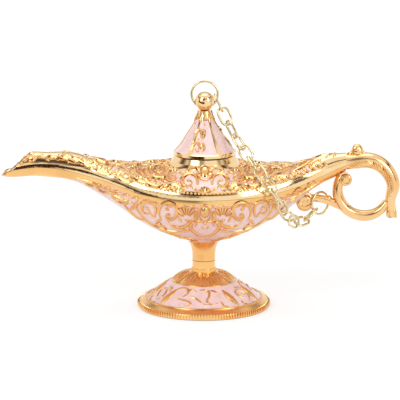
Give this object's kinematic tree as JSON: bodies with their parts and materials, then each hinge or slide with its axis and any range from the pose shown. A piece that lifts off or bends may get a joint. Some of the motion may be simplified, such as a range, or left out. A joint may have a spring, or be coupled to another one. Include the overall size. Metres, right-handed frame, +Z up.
{
  "type": "genie oil lamp",
  "caption": "Boat-shaped oil lamp on a round foot, with a long spout, a scrolled ring handle and a cone lid tied to the handle by a fine chain.",
  "frame": {"origin": "on the foot's axis, on the plane that the lamp stands on", "axes": "+X from the spout to the handle, +Y away from the front, +Z up"},
  "size_m": [0.1359, 0.045, 0.0785],
  "materials": {
    "foot_finish": "gold-plated casting with pink enamel panels",
    "lower_finish": "pink enamel with gold scroll relief",
    "upper_finish": "pink enamel with gold scroll relief and a polished gold rim",
    "lid_finish": "pink enamel panels between gold ribs",
    "polished_gold": "polished gold plating",
    "cast_gold": "satin gold plating on a casting",
    "pale_gold": "bright pale gold plated wire",
    "steel": "zinc-plated steel"
  },
  "bodies": {
    "lamp": {"foot": "foot_finish", "foot_screw": "steel", "foot_washer": "steel", "lower_body": "lower_finish", "upper_body": "upper_finish", "neck_collar": "polished_gold", "handle": "cast_gold"},
    "lid": {"lid": "lid_finish", "finial_ball": "polished_gold"},
    "finial_ring": {"finial_ring": "pale_gold"},
    "strut_ring": {"strut_ring": "pale_gold"},
    "link_01": {"link_01": "pale_gold"},
    "link_02": {"link_02": "pale_gold"},
    "link_03": {"link_03": "pale_gold"},
    "link_04": {"link_04": "pale_gold"},
    "link_05": {"link_05": "pale_gold"},
    "link_06": {"link_06": "pale_gold"},
    "link_07": {"link_07": "pale_gold"},
    "link_08": {"link_08": "pale_gold"},
    "link_09": {"link_09": "pale_gold"},
    "link_10": {"link_10": "pale_gold"},
    "link_11": {"link_11": "pale_gold"},
    "link_12": {"link_12": "pale_gold"},
    "link_13": {"link_13": "pale_gold"},
    "link_14": {"link_14": "pale_gold"}
  },
  "joints": [
    {"name": "lid_lift", "type": "slide", "parent": "lamp", "child": "lid", "axis": [0, 0, 1], "range_m": [0, 0.0042]},
    {"name": "finial_ring_tilt", "type": "hinge", "parent": "lid", "child": "finial_ring", "pos_m": [0.0003, 0, 0.07], "axis": [1, 0, 0], "range_deg": [-0.05, 3.55]},
    {"name": "strut_ring_turn", "type": "hinge", "parent": "lamp", "child": "strut_ring", "pos_m": [0.03979, 0, 0.03735], "axis": [0.975, 0, 0.2222], "range_deg": [-4.95, 0.05]},
    {"name": "link_01_swing", "type": "hinge", "parent": "lamp", "child": "link_01", "pos_m": [0.03073, -0.02986, 0.07467], "axis": [0.7483, 0.6628, 0.0284], "range_deg": [-0.05, 6.05]},
    {"name": "link_02_swing", "type": "hinge", "parent": "lamp", "child": "link_02", "pos_m": [0.0742, -0.00639, 0.077], "axis": [0.0727, 0.9966, -0.0395], "range_deg": [-0.05, 3.37]},
    {"name": "link_03_swing", "type": "hinge", "parent": "lamp", "child": "link_03", "pos_m": [-1.10447, -0.16909, -0.09014], "axis": [0.1375, -0.988, 0.0704], "range_deg": [-0.05, 0.2469]},
    {"name": "link_04_swing", "type": "hinge", "parent": "lamp", "child": "link_04", "pos_m": [-0.0161, -0.02765, 0.06014], "axis": [0.6261, -0.7688, 0.1299], "range_deg": [-0.05, 6.35]},
    {"name": "link_05_swing", "type": "hinge", "parent": "lamp", "child": "link_05", "pos_m": [0.02203, -0.01725, 0.06102], "axis": [0.7732, 0.6333, -0.0341], "range_deg": [-0.05, 15.54]},
    {"name": "link_06_swing", "type": "hinge", "parent": "lamp", "child": "link_06", "pos_m": [0.02175, -0.02128, 0.06259], "axis": [0.865, 0.4996, 0.0478], "range_deg": [-0.05, 12.18]},
    {"name": "link_07_swing", "type": "hinge", "parent": "lamp", "child": "link_07", "pos_m": [0.03193, -0.02687, 0.07275], "axis": [0.7754, 0.623, -0.1035], "range_deg": [-0.05, 6.18]},
    {"name": "link_08_swing", "type": "hinge", "parent": "lamp", "child": "link_08", "pos_m": [0.02785, -0.00166, 0.04038], "axis": [-0.7508, 0.0534, -0.6583], "range_deg": [-0.05, 9.97]},
    {"name": "link_09_swing", "type": "hinge", "parent": "lamp", "child": "link_09", "pos_m": [0.02292, -0.00522, 0.03855], "axis": [-0.8157, -0.2323, -0.5298], "range_deg": [-0.05, 12.34]},
    {"name": "link_10_swing", "type": "hinge", "parent": "lamp", "child": "link_10", "pos_m": [0.01324, -0.00478, 0.03182], "axis": [-0.5696, -0.7712, -0.2845], "range_deg": [-0.05, 8.22]},
    {"name": "link_11_swing", "type": "hinge", "parent": "lamp", "child": "link_11", "pos_m": [0.01793, -0.00331, 0.03399], "axis": [-0.667, -0.6704, -0.325], "range_deg": [-0.05, 9.64]},
    {"name": "link_12_swing", "type": "hinge", "parent": "lamp", "child": "link_12", "pos_m": [0.01282, 0.00617, 0.03519], "axis": [-0.6757, -0.6617, -0.3249], "range_deg": [-0.05, 5.62]},
    {"name": "link_13_swing", "type": "hinge", "parent": "lamp", "child": "link_13", "pos_m": [0.03082, 0.00206, 0.03598], "axis": [-0.9666, -0.1761, -0.1861], "range_deg": [-0.05, 11.8]},
    {"name": "link_14_swing", "type": "hinge", "parent": "lamp", "child": "link_14", "pos_m": [0.03665, -0.00117, 0.03452], "axis": [-0.9927, 0.1197, -0.0104], "range_deg": [-0.05, 21.87]}
  ],
  "couplings": [
    {"joint": "finial_ring_tilt", "follows": "lid_lift", "rad_per_m": 14.544},
    {"joint": "strut_ring_turn", "follows": "lid_lift", "rad_per_m": -20.362},
    {"joint": "link_01_swing", "follows": "lid_lift", "rad_per_m": 24.916},
    {"joint": "link_02_swing", "follows": "lid_lift", "rad_per_m": 13.811},
    {"joint": "link_03_swing", "follows": "lid_lift", "rad_per_m": 0.81824},
    {"joint": "link_04_swing", "follows": "lid_lift", "rad_per_m": 26.189},
    {"joint": "link_05_swing", "follows": "lid_lift", "rad_per_m": 64.374},
    {"joint": "link_06_swing", "follows": "lid_lift", "rad_per_m": 50.392},
    {"joint": "link_07_swing", "follows": "lid_lift", "rad_per_m": 25.456},
    {"joint": "link_08_swing", "follows": "lid_lift", "rad_per_m": 41.243},
    {"joint": "link_09_swing", "follows": "lid_lift", "rad_per_m": 51.092},
    {"joint": "link_10_swing", "follows": "lid_lift", "rad_per_m": 33.941},
    {"joint": "link_11_swing", "follows": "lid_lift", "rad_per_m": 39.852},
    {"joint": "link_12_swing", "follows": "lid_lift", "rad_per_m": 23.163},
    {"joint": "link_13_swing", "follows": "lid_lift", "rad_per_m": 48.846},
    {"joint": "link_14_swing", "follows": "lid_lift", "rad_per_m": 90.691}
  ]
}
